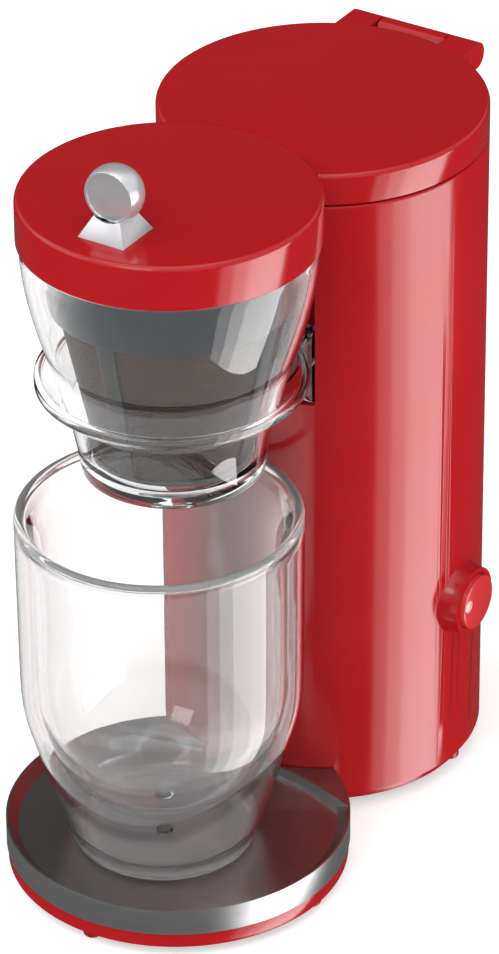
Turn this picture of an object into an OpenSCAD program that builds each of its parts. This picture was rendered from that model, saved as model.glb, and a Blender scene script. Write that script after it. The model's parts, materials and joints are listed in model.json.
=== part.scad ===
// Compact drip coffee maker: a round water column with a hinged lid, a clear dripper held at its
// front, and a double-walled glass on a steel drip tray. All lengths are millimetres.

/* [Column] */
// Outer radius of the round water column
column_r = 52; // [51.5:0.1:52.5]
// Height of the seam between the column and its lid
seam_z = 224.4; // [222:0.1:226]
// Height of the column's lower edge above the table
column_foot_z = 7.5; // [7.4:0.1:7.8]
// Thickness of the moulded housing walls
wall = 2.5; // [2.3:0.1:2.6]
// Height of the hinged tank lid
tank_lid_h = 10.1; // [9.8:0.1:10.4]

/* [Front recess] */
// Half of the width of the recess that the dripper nests in
recess_half = 25; // [24.8:0.1:25.4]
// Distance from the column's axis to the recess's back wall
recess_back = 42; // [41.8:0.1:42.2]
// Height at which the recess begins
recess_z = 153.7; // [152:0.1:153.8]

/* [Dripper] */
// Distance from the column's axis forward to the dripper's axis
dripper_reach = 88; // [88:0.1:88.4]
// Height of the dripper cup's bottom
cup_z = 147.7; // [147.5:0.1:148.5]
// Outer radius of the cup at its bottom
cup_foot_r = 28.5; // [27.5:0.1:29.5]
// Outer radius of the cup under its shoulder
cup_top_r = 45.4; // [45:0.1:45.4]
// Wall thickness of the clear cup
cup_wall = 2.5; // [2.2:0.1:2.6]
// Outer radius of the dripper lid
dripper_lid_r = 46.4; // [46.3:0.1:46.5]
// Height of the dripper lid's skirt
dripper_lid_h = 14.4; // [14.2:0.1:14.6]

/* [Knob] */
// Radius of the ball knob
knob_r = 9; // [8.6:0.1:9.2]
// Distance of the knob forward of the lid's centre
knob_reach = 29; // [27:0.5:29]

/* [Tray and base] */
// Outer radius of the drip tray
tray_r = 55; // [54.8:0.1:55.2]
// Distance from the column's axis forward to the tray's axis
tray_reach = 88.5; // [88:0.1:89]
// Height of the tray's rim
tray_rim_z = 17.75; // [17.5:0.05:18]

/* [Glass] */
// Outer radius of the glass at its rim
glass_r = 44.8; // [44:0.1:44.9]
// Height of the glass's rim above the table
glass_rim_z = 135.4; // [131:0.1:135.6]

/* [Button] */
// Radius of the power button
button_r = 9; // [8.8:0.1:9.1]
// Height of the power button's axis
button_z = 67.5; // [66:0.5:69]
// Distance from the column's axis to the button's face
button_face_x = 59.5; // [59:0.1:60]

/* [Hidden] */
$fn = 72;
gap = 0.3; // running clearance between pieces that move apart
eps = 0.02; // slip clearance between pieces that stay together

// Heights up the column
tank_lid_top = seam_z + tank_lid_h;
shell_top = seam_z - 0.5;
deck_top = shell_top - 0.5;
deck_z = deck_top - 2;
inner_r = column_r - wall;

// Hinge at the back of the tank lid
hinge_y = column_r + 4;
hinge_r = 4.5;
hinge_z = tank_lid_top - hinge_r;
hinge_half = 23;
knuckle_half = 12;
pin_r = 1.5;

// The part's origin is under the middle of its bounding box, on the table
rear_y = hinge_y + hinge_r;
axis_x = (tray_r - button_face_x) / 2;
axis_y = (tray_reach + tray_r - rear_y) / 2;

// Dripper lid, its water inlet at the back, and the nozzle under it
dripper_lid_z = seam_z + 2.6;
dripper_lid_top = dripper_lid_z + dripper_lid_h;
dripper_lid_ceiling = dripper_lid_top - 2.2;
skirt_in_r = dripper_lid_r - 2;
tongue_half = 8.5;
tongue_y = 36.3;
tongue_z = seam_z + 5.2;
tongue_top = tank_lid_top + 1.5;
port_y = 38;
port_r = 2;

// Cup, filter and shower plate, as heights above the table
cup_shoulder_z = dripper_lid_z - 0.5;
cup_neck_r = skirt_in_r - 0.6;
cup_rim_z = cup_shoulder_z + 5.5;
flange_z = cup_rim_z + gap;
flange_h = 1;
band_top_r = cup_neck_r - cup_wall - 0.5;
band_foot_r = 37.5;
band_foot_z = cup_z + 59.3;
mesh_top_r = 35;
mesh_foot_r = 24;
mesh_foot_z = cup_z + 8.3;
channel_z = flange_z + flange_h + 0.4;
channel_h = 1.2;
shower_r = 35.5;
shower_z = channel_z - 3.3;

// Holder hoop and its bracket
hoop_r = 42;
hoop_z = cup_z + 29.3;
hoop_h = 3;
bracket_half = recess_half - 0.4;
bracket_z = recess_z + 0.3;
bracket_y = recess_back + eps;
bracket_t = 3.2;
holder_screw_x = 17;
holder_screw_z = bracket_z + 12;

// Water tank and its plumbing, inside the column
tank_r = inner_r - 2.5;
tank_front = 29.5;
tank_wall = 2;
tank_z = 130;
pipe_ring_r = 34.3;
pipe_z = 28;
pipe_angle = 20;
element_z = pipe_z - 7.4;
heater_start = pipe_angle - 9;
heater_end = 279;
hose_in_r = 3;
hose_out_r = 4.4;
pipe_bore_r = 2;
stub_top = 46;
stub_r = hose_in_r - eps;

// Base, screws and feet
base_z = 3.5;
cover_t = 2;
front_base_r = tray_r - 0.5;
front_base_top = 8.3;
plug_r = inner_r - 0.2;
plug_top = 16.3;
skirt = 1.5;
post_ring_r = 44;
post_r = 3.5;
front_post_ring_r = 42;
column_foot_ring_r = 46;
front_foot_ring_r = 50;
foot_r = 3;
screw_r = 1.45;
grommet_z = 23;
shell_post_angles = [45, 135, 225, 315];
front_post_angles = [-90, 0, 180];
column_foot_angles = [7, 90, 173];

// Tray
tray_z = front_base_top + gap;
tray_floor_z = tray_rim_z - 3.25;
tray_sheet = 0.8;
tray_gap_r = column_r + 0.5;
tray_lip_r = 130;
tray_lip_y = 50.5;

// Glass
glass_x = 0.8;
glass_reach = 97.6;
glass_z = tray_floor_z + 0.2;
glass_foot_r = 28.8;
glass_wall = 1.6;
glass_bowl_z = glass_z + 14.2;
glass_bowl_r = glass_r - 5.6;
glass_lip_z = glass_rim_z - 3.2;

// Ball knob
ball_z = dripper_lid_top + 13;
knob_foot_half = 8;
knob_neck_half = 4.25;
knob_neck_z = dripper_lid_top + 7;

// Button, its switch and its spring
boss_x = 57;
boss_foot_x = 46;
switch_face_x = 47;
button_back_x = 51.4;
flange_x = 50.9;
stem_r = 2;
lamp_r = 2.2;

// ---- Shared shapes -------------------------------------------------------------------------

module at_column(z = 0) {
  translate([axis_x, axis_y, z]) children();
}

module at_dripper(z = 0) {
  translate([axis_x, axis_y - dripper_reach, z]) children();
}

module at_tray(z = 0) {
  translate([axis_x, axis_y - tray_reach, z]) children();
}

module at_glass() {
  translate([axis_x + glass_x, axis_y - glass_reach, 0]) children();
}

// A straight pipe that stands on z = 0
module pipe(outer, inner, h) {
  difference() {
    cylinder(r = outer, h = h);
    translate([0, 0, -1]) cylinder(r = inner, h = h + 2);
  }
}

// A round bar along +X from x = x0 to x = x1
module bar_x(r, x0, x1) {
  translate([x0, 0, 0]) rotate([0, 90, 0]) cylinder(r = r, h = x1 - x0);
}

// A round bar along +Y from y = y0 to y = y1
module bar_y(r, y0, y1) {
  translate([0, y0, 0]) rotate([-90, 0, 0]) cylinder(r = r, h = y1 - y0);
}

// A block given by its two opposite corners
module block(low, high) {
  translate(low) cube(high - low);
}

// The recess's own space, grown on its closed sides by a wall
module recess_space(grow = 0) {
  block([-recess_half - grow, -column_r - 5, recess_z - grow],
        [recess_half + grow, -recess_back + grow, seam_z + 5]);
}

// Places its children at each angle on a ring
module ring_of(r, angles) {
  for (a = angles) rotate([0, 0, a]) translate([r, 0, 0]) children();
}

// The smaller of two values, with a rounded corner where they cross
function soft_min(a, b, k) = -ln(exp(-k * a) + exp(-k * b)) / k;

// Points of a circular arc in the profile plane
function arc(c, r, a0, a1, n = 6) =
  [for (i = [0:n]) let (a = a0 + (a1 - a0) * i / n) c + r * [cos(a), sin(a)]];

// A closed round bar swept along a path; side is any direction that the path never follows
module round_sweep(path, r, sides, side) {
  last = len(path) - 1;
  function along(i) = path[min(i + 1, last)] - path[max(i - 1, 0)];
  rings = [for (i = [0:last]) let (
      t = along(i) / norm(along(i)),
      u = cross(t, side) / norm(cross(t, side)),
      v = cross(t, u))
    each [for (j = [0:sides - 1]) let (b = 360 * j / sides)
      path[i] + r * (cos(b) * u + sin(b) * v)]];
  sleeve = [for (i = [0:last - 1], j = [0:sides - 1]) let (k = (j + 1) % sides)
    [i * sides + j, (i + 1) * sides + j, (i + 1) * sides + k, i * sides + k]];
  start = [for (j = [0:sides - 1]) j];
  end = [for (j = [sides - 1:-1:0]) last * sides + j];
  polyhedron(rings, concat(sleeve, [start, end]));
}

// Points of a cubic curve from a to d, leaving towards b and arriving from c
function curve(a, b, c, d, n = 20) = [for (i = [0:n]) let (t = i / n, s = 1 - t)
  s * s * s * a + 3 * s * s * t * b + 3 * s * t * t * c + t * t * t * d];

// ---- Column --------------------------------------------------------------------------------

module shell_walls() {
  difference() {
    translate([0, 0, column_foot_z]) cylinder(r = column_r, h = shell_top - column_foot_z);
    recess_space();
    difference() {
      translate([0, 0, column_foot_z - 1]) cylinder(r = inner_r, h = seam_z);
      recess_space(wall);
      // Ledge that carries the tank's deck
      translate([0, 0, deck_z - 2.4]) pipe(inner_r + 1, inner_r - 1.8, 2.4);
    }
  }
}

module hinge_neck() {
  translate([-knuckle_half, 0, 0]) rotate([90, 0, 90])
    linear_extrude(2 * knuckle_half)
      polygon([[column_r - 2, hinge_z - 26], [column_r - 0.4, hinge_z - 26],
               [hinge_y + hinge_r, hinge_z - 9], [hinge_y + hinge_r, hinge_z],
               [hinge_y - hinge_r, hinge_z], [hinge_y - hinge_r, shell_top],
               [column_r - 2, shell_top]]);
  translate([0, hinge_y, hinge_z]) bar_x(hinge_r, -knuckle_half, knuckle_half);
}

module body_shell() {
  color("#a81c22") at_column() difference() {
    union() {
      shell_walls();
      hinge_neck();
      translate([boss_foot_x, 0, button_z]) rotate([0, 90, 0])
        cylinder(r1 = 17.5, r2 = 11.2, h = boss_x - boss_foot_x);
      ring_of(post_ring_r, shell_post_angles) translate([0, 0, plug_top + 0.2]) {
        cylinder(r = post_r, h = 18);
        block([post_r - 1, -1.2, 0], [inner_r + 1 - post_ring_r, 1.2, 18]);
      }
      for (x = [-holder_screw_x, holder_screw_x])
        translate([x, 0, holder_screw_z]) bar_y(3.6, -recess_back + 0.5, -recess_back + 7);
    }
    translate([0, 0, button_z]) {
      bar_x(button_r + gap, boss_foot_x - 5, boss_x + 5);
      bar_x(button_r + 2, boss_foot_x - 5, flange_x + 2.1);
    }
    translate([0, hinge_y, hinge_z]) bar_x(pin_r + eps, -hinge_half, hinge_half);
    translate([0, 0, grommet_z]) bar_y(4, column_r - 5, column_r + 2);
    ring_of(post_ring_r, shell_post_angles) cylinder(r = screw_r + eps, h = plug_top + 14);
    for (x = [-holder_screw_x, holder_screw_x])
      translate([x, 0, holder_screw_z]) bar_y(screw_r + eps, -recess_back - 1, -recess_back + 6);
  }
}

module base_solid() {
  translate([0, 0, base_z]) cylinder(r = plug_r, h = plug_top - base_z);
  difference() {
    translate([0, -tray_reach, base_z]) cylinder(r = front_base_r, h = front_base_top - base_z);
    translate([0, 0, column_foot_z - 0.2]) cylinder(r = column_r + 0.3, h = 5);
  }
}

// The space above the column's floor plate, and the spaces that the cover closes from below
module base_hollows() {
  translate([0, 0, 10]) cylinder(r = plug_r - skirt, h = 10);
  translate([0, 0, base_z - 1]) cylinder(r = plug_r - skirt, h = 9 - base_z);
  translate([0, -tray_reach, base_z - 1])
    cylinder(r = front_base_r - 2, h = front_base_top - 1 - base_z);
}

module front_posts() {
  translate([0, -tray_reach, 0]) ring_of(front_post_ring_r, front_post_angles) children();
}

module base_moulding() {
  color("#a01a20") at_column() difference() {
    union() {
      difference() {
        base_solid();
        base_hollows();
      }
      translate([0, 0, base_z + cover_t]) {
        ring_of(post_ring_r, shell_post_angles)
          cylinder(r = post_r, h = plug_top - base_z - cover_t);
        front_posts() cylinder(r = post_r, h = front_base_top - base_z - cover_t - 1);
      }
    }
    ring_of(post_ring_r, shell_post_angles) cylinder(r = screw_r + 0.15, h = 30);
    front_posts() cylinder(r = screw_r + eps, h = front_base_top - 0.4);
  }
}

module cover_hole() {
  translate([0, 0, base_z - 1]) cylinder(r = 3.1, h = 2.5);
  translate([0, 0, base_z]) cylinder(r = screw_r + 0.15, h = 3);
}

module base_cover() {
  color("#26262a") at_column() difference() {
    translate([0, 0, base_z]) linear_extrude(cover_t) {
      circle(r = plug_r - skirt - 0.2);
      translate([0, -tray_reach]) circle(r = front_base_r - 2.2);
    }
    ring_of(post_ring_r, shell_post_angles) cover_hole();
    front_posts() cover_hole();
    foot_places() cylinder(r = 1.2 + eps, h = 10);
    // Slots that let air reach the heater
    for (i = [-3:3]) block([i * 6 - 1.25, -12, 0], [i * 6 + 1.25, 12, 10]);
  }
}

module machine_screw(shank) {
  cylinder(r = 2.8, h = 1.3);
  translate([0, 0, 1.3]) cylinder(r = screw_r, h = shank);
}

module base_screws() {
  color("#8f9296") at_column() {
    ring_of(post_ring_r, shell_post_angles) translate([0, 0, base_z + 0.2]) machine_screw(24);
    front_posts() translate([0, 0, base_z + 0.2]) machine_screw(2.8);
  }
}

module foot_places() {
  ring_of(column_foot_ring_r, column_foot_angles) children();
  translate([0, -tray_reach, 0]) ring_of(front_foot_ring_r, front_post_angles) children();
}

module feet() {
  color("#5a1416") at_column() foot_places() {
    cylinder(r1 = foot_r - 0.6, r2 = foot_r, h = 1);
    translate([0, 0, 1]) cylinder(r = foot_r, h = base_z - 1);
    translate([0, 0, base_z]) cylinder(r = 1.2, h = cover_t + 0.4);
  }
}

module hinge_pin() {
  color("silver") at_column() translate([0, hinge_y, hinge_z])
    bar_x(pin_r, 1 - hinge_half, hinge_half - 1);
}

module cord_grommet() {
  color("#1c1c1e") at_column(grommet_z) difference() {
    union() {
      bar_y(4 - eps, inner_r - 2, column_r + 1);
      bar_y(6, column_r + eps, column_r + 2.4);
      bar_y(5.2, inner_r - 3, inner_r - 0.5);
    }
    bar_y(2.9, 40, 60);
  }
}

// ---- Tank and plumbing ---------------------------------------------------------------------

module tank_outline(inset) {
  intersection() {
    circle(r = tank_r - inset);
    translate([-60, inset - tank_front]) square(120);
  }
}

module at_pipe_end(z = 0) {
  rotate([0, 0, pipe_angle]) translate([pipe_ring_r, 0, z]) children();
}

module water_tank() {
  color("#d9dcdc") at_column() difference() {
    union() {
      translate([0, 0, tank_z]) linear_extrude(deck_top - tank_z) tank_outline(0);
      translate([0, 0, deck_z]) cylinder(r = inner_r - gap, h = deck_top - deck_z);
      at_pipe_end(tank_z - 10) cylinder(r = stub_r, h = 11);
    }
    translate([0, 0, tank_z + tank_wall]) linear_extrude(120) tank_outline(tank_wall);
    at_pipe_end(tank_z - 11) cylinder(r = pipe_bore_r, h = 20);
    recess_space(wall + gap);
    translate([0, -pipe_ring_r, deck_z - 1]) cylinder(r = 3.7, h = 5);
  }
}

module tank_screen() {
  color("#c9ccce") at_column() at_pipe_end(tank_z + tank_wall) difference() {
    union() {
      cylinder(r = 6, h = 1);
      pipe(6, 5.2, 3);
    }
    for (a = [0:60:300], r = [1.6, 3.6])
      rotate([0, 0, a]) translate([r, 0, -1]) cylinder(r = 0.5, h = 3);
  }
}

module inlet_hose() {
  color("#e6e2d8") at_column() at_pipe_end(stub_top - 8)
    pipe(hose_out_r, hose_in_r, tank_z - stub_top + 7);
}

module check_valve() {
  color("#f2f2f2") at_column() at_pipe_end(80) difference() {
    cylinder(r = hose_in_r - eps, h = 9);
    translate([0, 0, -1]) cylinder(r = 1.1, h = 11);
    translate([0, 0, 2.5]) cylinder(r = 2, h = 4);
  }
}

module heater() {
  color("#b4b7ba") at_column() difference() {
    union() {
      rotate([0, 0, heater_start]) rotate_extrude(angle = heater_end - heater_start) {
        translate([pipe_ring_r, pipe_z]) circle(r = 5);
        translate([pipe_ring_r, element_z]) circle(r = 4.2);
      }
      at_pipe_end(pipe_z) cylinder(r = stub_r, h = stub_top - pipe_z);
      translate([0, -pipe_ring_r, pipe_z]) cylinder(r = stub_r, h = stub_top - pipe_z);
    }
    rotate([0, 0, pipe_angle]) rotate_extrude(angle = 270 - pipe_angle)
      translate([pipe_ring_r, pipe_z]) circle(r = pipe_bore_r);
    at_pipe_end(pipe_z - 2.5) cylinder(r = pipe_bore_r + 0.3, h = 30);
    translate([0, -pipe_ring_r, pipe_z - 2.5]) cylinder(r = pipe_bore_r + 0.3, h = 30);
  }
}

module heater_bracket() {
  color("#9a9da0") at_column() ring_of(pipe_ring_r, [95, 145, 195, 245]) {
    block([-7, -4, 10], [7, 4, 11.2]);
    block([-1.5, -4, 11.2], [1.5, 4, pipe_z - 11.7]);
  }
}

module thermostat() {
  color("#d8c7a0") at_column() ring_of(pipe_ring_r, [170]) translate([0, 0, pipe_z + 5.1]) {
    cylinder(r = 7, h = 5);
    translate([0, 0, 5]) cylinder(r = 4.5, h = 3);
    for (y = [-3, 3]) translate([0, y, 8]) block([-1.5, -0.4, 0], [1.5, 0.4, 6]);
  }
}

module thermal_fuse() {
  color("#e8e8e4") at_column() translate([0, pipe_ring_r, pipe_z + 7.2]) {
    bar_x(2, -8, 8);
    bar_x(0.5, -15, 15);
  }
}

module riser_hose() {
  color("#e6e2d8") at_column() translate([0, -pipe_ring_r, stub_top - 8])
    pipe(hose_out_r, hose_in_r, deck_z - stub_top + 7.6);
}

module outlet_nozzle() {
  color("#e9e9e6") at_column() difference() {
    union() {
      translate([0, -pipe_ring_r, deck_z - 9]) cylinder(r = stub_r, h = 12);
      block([-4.5, -recess_back + wall + gap, deck_top], [4.5, -31, tongue_z - 1.3]);
      block([-4.5, -port_y - 2.9, shell_top + 0.3], [4.5, -32, tongue_z - 1.3]);
    }
    translate([0, -pipe_ring_r, deck_z - 10]) cylinder(r = 1.8, h = 14.6);
    translate([0, 0, deck_top + 2.6]) bar_y(1.8, -port_y, -pipe_ring_r);
    translate([0, -port_y, deck_top + 2.6]) cylinder(r = port_r, h = 5);
  }
}

module nozzle_gasket() {
  color("#f0efe9") at_column() translate([0, -port_y, tongue_z - 1.3]) pipe(2.9, port_r, 1);
}

module terminal_block() {
  color("#2d2d30") at_column() difference() {
    block([-12, 4, 10], [12, 20, 20]);
    for (x = [-8, 0, 8], y = [8, 16]) translate([x, y, 14]) cylinder(r = 1.8, h = 10);
    for (x = [-8, 0, 8]) translate([x, 0, 13]) bar_y(1.4, 0, 30);
  }
}

module wiring() {
  start = pipe_ring_r * [cos(heater_start), sin(heater_start), 0] + [0, 0, element_z];
  away = [sin(heater_start), -cos(heater_start), 0];
  end = pipe_ring_r * [cos(heater_end), sin(heater_end), 0] + [0, 0, element_z];
  onward = [-sin(heater_end), cos(heater_end), 0];
  fuse_z = pipe_z + 7.2;
  fuse_end = 15.1;
  tab = [29.9, 5, button_z];
  color("#c23a34") at_column() {
    // Live feed to the switch, and on from the switch to the heating element
    round_sweep(curve([8, 16, 15], [8, 16, 50], [8, -5, button_z], [tab.x, -5, button_z]),
                1.1, 8, [0.3, 1, 0.1]);
    round_sweep(curve(start + 0.1 * away, start + 12 * away, [12, 5, button_z], tab),
                1.1, 8, [0.3, 1, 0.1]);
    // Neutral through the thermal fuse to the element's other end
    round_sweep(curve([-8, 16, 15], [-8, 16, 44], [-28, pipe_ring_r, fuse_z],
                      [-fuse_end, pipe_ring_r, fuse_z]), 1.1, 8, [0.1, 1, 0.3]);
    round_sweep(curve(end + 0.1 * onward, end + 12 * onward,
                      [28, pipe_ring_r, 52], [fuse_end, pipe_ring_r, fuse_z]),
                1.1, 8, [0.1, 0.2, 1]);
  }
}

// ---- Hinged tank lid -----------------------------------------------------------------------

// The space that the dripper lid and its water inlet take out of the tank lid
module dripper_notch(grow = 0, tall = 40) {
  translate([0, -dripper_reach, seam_z - 10])
    cylinder(r = dripper_lid_r + 0.8 + grow, h = tall);
  block([-10 - grow, -60, seam_z - 10], [10 + grow, -tongue_y + 0.8 + grow, seam_z + tall]);
}

module lid_ear(side) {
  x0 = side > 0 ? knuckle_half + 0.4 : -hinge_half;
  x1 = side > 0 ? hinge_half : -knuckle_half - 0.4;
  translate([0, hinge_y, hinge_z]) bar_x(hinge_r, x0, x1);
  block([x0, inner_r - 6, hinge_z - hinge_r], [x1, hinge_y, tank_lid_top]);
}

module tank_lid() {
  color("#b41c22") at_column() difference() {
    union() {
      difference() {
        translate([0, 0, seam_z]) cylinder(r = column_r, h = tank_lid_h);
        difference() {
          translate([0, 0, seam_z - 1]) cylinder(r = inner_r, h = tank_lid_h - wall + 1);
          dripper_notch(wall);
          for (side = [-1, 1]) lid_ear(side);
        }
      }
      for (side = [-1, 1]) lid_ear(side);
    }
    dripper_notch();
    // Room for the body's knuckle, the hinge pin and the outlet nozzle
    block([-knuckle_half - 0.4, hinge_y - 5.1, seam_z - 1],
          [knuckle_half + 0.4, hinge_y + 10, tank_lid_top + 1]);
    translate([0, hinge_y, hinge_z]) bar_x(pin_r + 0.05, -hinge_half - 1, hinge_half - 0.8);
    block([-6, -tongue_y - 2, seam_z - 1], [6, -tongue_y + 6, tongue_z - 0.1]);
  }
}

// ---- Button --------------------------------------------------------------------------------

// A round piece along +X from x0 to x1, whose end at x1 is domed to the radius dome_r
module domed_bar(r, x0, x1, dome_r) {
  dome = arc([0, x1 - dome_r], dome_r, acos(r / dome_r), 90, 5);
  rotate([0, 90, 0]) rotate_extrude() polygon(concat([[0, x0], [r, x0]], dome));
}

module power_button() {
  color("#c4393a") at_column(button_z) difference() {
    union() {
      domed_bar(button_r, button_back_x, button_face_x, 45);
      bar_x(button_r + 1.6, flange_x, flange_x + 1.7);
      bar_x(stem_r, switch_face_x + 0.3, button_back_x + 1);
    }
    lamp_place() bar_x(lamp_r + eps, button_face_x - 4, button_face_x + 3);
  }
}

// The lamp sits near the front edge of the button's face
module lamp_place() {
  translate([0, -6.2, 1.6]) children();
}

module lamp_lens() {
  color("#ffd8d2") at_column(button_z) lamp_place()
    domed_bar(lamp_r, button_face_x - 4, button_face_x - 0.1, 4);
}

module button_spring() {
  turns = 4;
  steps = 14 * turns;
  r = 3.4;
  x0 = switch_face_x + 0.35;
  x1 = flange_x - 0.35;
  path = [for (i = [0:steps]) let (a = 360 * turns * i / steps)
    [x0 + (x1 - x0) * i / steps, r * cos(a), r * sin(a)]];
  color("#c0c4c8") at_column(button_z) round_sweep(path, 0.3, 6, [1, 0, 0]);
}

module switch_module() {
  color("#232326") at_column(button_z) difference() {
    block([36, -8, -8], [switch_face_x, 8, 8]);
    bar_x(stem_r + gap, 43, switch_face_x + 1);
  }
  color("#c9a24a") at_column(button_z)
    for (y = [-5, 5]) block([30, y - 1.6, -0.4], [36, y + 1.6, 0.4]);
}

// ---- Dripper -------------------------------------------------------------------------------

// Outer radius of the clear cup at a height above the table
function cup_r(z) = let (t = (z - cup_z) / (cup_shoulder_z - cup_z))
  cup_foot_r + (cup_top_r - cup_foot_r) * t * (0.412 + 2.256 * t - 1.668 * t * t);

cup_levels = [for (i = [0:12]) cup_z + (cup_shoulder_z - cup_z) * i / 12];

module dripper_cup() {
  floor_z = cup_z + cup_wall;
  outer = [for (z = cup_levels) [cup_r(z), z]];
  inner = [for (i = [12:-1:0]) if (cup_levels[i] > floor_z + 2)
    [cup_r(cup_levels[i]) - cup_wall, cup_levels[i]]];
  color("#e8eef0", 0.4) at_dripper() rotate_extrude()
    polygon(concat([[4, cup_z]], outer,
                   [[cup_neck_r, cup_shoulder_z], [cup_neck_r, cup_rim_z],
                    [cup_neck_r - cup_wall, cup_rim_z],
                    [cup_neck_r - cup_wall, cup_shoulder_z]],
                   inner, [[cup_foot_r - 7, floor_z], [4, floor_z]]));
}

module dripper_holder() {
  foot = hoop_z - 7;
  color("#e8eef0", 0.5) at_column() {
    difference() {
      union() {
        translate([0, -dripper_reach, 0]) rotate_extrude()
          polygon([[cup_r(foot) + 0.35, foot], [cup_r(foot + 3) + 0.35, foot + 3],
                   [hoop_r - 2.5, hoop_z + 1.5], [hoop_r - 2.5, hoop_z + hoop_h],
                   [hoop_r, hoop_z + hoop_h], [hoop_r, hoop_z], [hoop_r - 1, hoop_z - 0.8]]);
        difference() {
          block([-bracket_half, -60, hoop_z - 0.5], [bracket_half, -bracket_y, hoop_z + hoop_h]);
          translate([0, -dripper_reach, 0]) cylinder(r = hoop_r - 1.5, h = 300);
        }
        block([-bracket_half, -bracket_y - bracket_t, bracket_z],
              [bracket_half, -bracket_y, hoop_z + hoop_h]);
        // Gussets from the bracket plate up to the hoop
        for (x = [-bracket_half, bracket_half - 2]) translate([x, 0, 0])
          rotate([90, 0, 90]) linear_extrude(2)
            polygon([[-bracket_y - 1, bracket_z], [-bracket_y - bracket_t, bracket_z],
                     [-54, hoop_z], [-bracket_y - 1, hoop_z]]);
      }
      for (x = [-holder_screw_x, holder_screw_x])
        translate([x, 0, holder_screw_z]) bar_y(screw_r + 0.1, -60, -30);
    }
  }
}

module holder_screws() {
  color("#d0d3d6") at_column() for (x = [-holder_screw_x, holder_screw_x])
    translate([x, -bracket_y - bracket_t - 1.3, holder_screw_z]) rotate([-90, 0, 0])
      machine_screw(8.5);
}

// Outer radius of the mesh cone at a height above the table
function mesh_r(z) =
  mesh_foot_r + (mesh_top_r - mesh_foot_r) * (z - mesh_foot_z) / (band_foot_z - mesh_foot_z);

module filter_frame() {
  color("#3a3c40") at_dripper() {
    rotate_extrude() polygon([
      [band_top_r - 1.2, flange_z + flange_h], [cup_neck_r - 0.4, flange_z + flange_h],
      [cup_neck_r - 0.4, flange_z], [band_top_r, flange_z], [band_foot_r, band_foot_z],
      [mesh_top_r, band_foot_z], [mesh_top_r, band_foot_z + 1.2],
      [band_foot_r - 1.2, band_foot_z + 1.2]]);
    // Four ribs down the outside of the mesh, and the floor plate they meet
    intersection() {
      rotate_extrude() polygon([
        [mesh_r(mesh_foot_z), mesh_foot_z], [mesh_foot_r + 1, mesh_foot_z],
        [mesh_top_r + 1, band_foot_z + 0.1], [mesh_top_r, band_foot_z + 0.1]]);
      union() {
        block([-60, -3, 0], [60, 3, 300]);
        block([-3, -60, 0], [3, 60, 300]);
      }
    }
    translate([0, 0, mesh_foot_z - 1.8]) cylinder(r = mesh_foot_r + 1, h = 1.8);
  }
}

module filter_mesh() {
  color("#8a7f72") at_dripper() rotate_extrude() polygon([
    [mesh_foot_r - 0.5, mesh_foot_z], [mesh_foot_r - eps, mesh_foot_z],
    [mesh_top_r - eps, band_foot_z], [mesh_top_r - 0.5, band_foot_z]]);
}

// ---- Dripper lid ---------------------------------------------------------------------------

module dripper_lid() {
  back = tongue_y - dripper_reach;
  color("#b41c22") at_dripper() difference() {
    union() {
      difference() {
        translate([0, 0, dripper_lid_z]) cylinder(r = dripper_lid_r, h = dripper_lid_h);
        translate([0, 0, dripper_lid_z - 1])
          cylinder(r = skirt_in_r, h = dripper_lid_ceiling - dripper_lid_z + 1);
      }
      // Water inlet behind the skirt, and the channel from it towards the middle
      block([-tongue_half, skirt_in_r + 0.4, tongue_z], [tongue_half, -back, tongue_top]);
      difference() {
        block([-5.5, shower_r - 0.5, channel_z], [5.5, dripper_lid_r - 1, dripper_lid_ceiling]);
        cylinder(r = shower_r + eps, h = 300);
      }
    }
    translate([0, dripper_reach - port_y, tongue_z - 1]) cylinder(r = port_r, h = 5.6);
    block([-4, shower_r - 3, channel_z + 0.5],
          [4, dripper_reach - port_y + 1, channel_z + 0.5 + channel_h]);
    translate([0, -knob_reach, dripper_lid_ceiling - 1]) cylinder(r = screw_r + 0.1, h = 5);
  }
}

module shower_plate() {
  color("#2e2f33") at_dripper() difference() {
    union() {
      translate([0, 0, shower_z]) cylinder(r = shower_r, h = 1.2);
      translate([0, 0, shower_z])
        pipe(shower_r, shower_r - 1.2, dripper_lid_ceiling - shower_z);
    }
    for (r = [8, 16, 24], a = [0:60:300])
      rotate([0, 0, a + r]) translate([r, 0, shower_z - 1]) cylinder(r = 0.9, h = 4);
    translate([0, 0, shower_z - 1]) cylinder(r = 0.9, h = 4);
    block([-4, 30, channel_z + 0.5], [4, 40, channel_z + 0.5 + channel_h]);
  }
}

module knob_base() {
  a = knob_foot_half;
  b = knob_neck_half;
  h = knob_neck_z - dripper_lid_top;
  color("#b9bcc0") at_dripper() translate([0, -knob_reach, dripper_lid_top]) difference() {
    polyhedron(
      [[-a, -a, 0], [a, -a, 0], [a, a, 0], [-a, a, 0],
       [-b, -b, h], [b, -b, h], [b, b, h], [-b, b, h]],
      [[0, 1, 2, 3], [7, 6, 5, 4], [0, 4, 5, 1], [1, 5, 6, 2], [2, 6, 7, 3], [3, 7, 4, 0]]);
    translate([0, 0, ball_z - dripper_lid_top]) sphere(r = knob_r + eps);
    translate([0, 0, -1]) cylinder(r = screw_r + 0.1, h = 20);
  }
}

module knob_ball() {
  color("#c6c9cc") at_dripper() translate([0, -knob_reach, ball_z]) difference() {
    sphere(r = knob_r);
    block([-20, -20, -20], [20, -4, 20]);
    translate([0, 0, -knob_r - 1]) cylinder(r = screw_r + eps, h = knob_r);
  }
}

module knob_screw() {
  color("#8f9296") at_dripper() translate([0, -knob_reach, dripper_lid_ceiling - 1.3])
    machine_screw(ball_z - dripper_lid_ceiling - 2.2);
}

// ---- Drip tray -----------------------------------------------------------------------------

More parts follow.
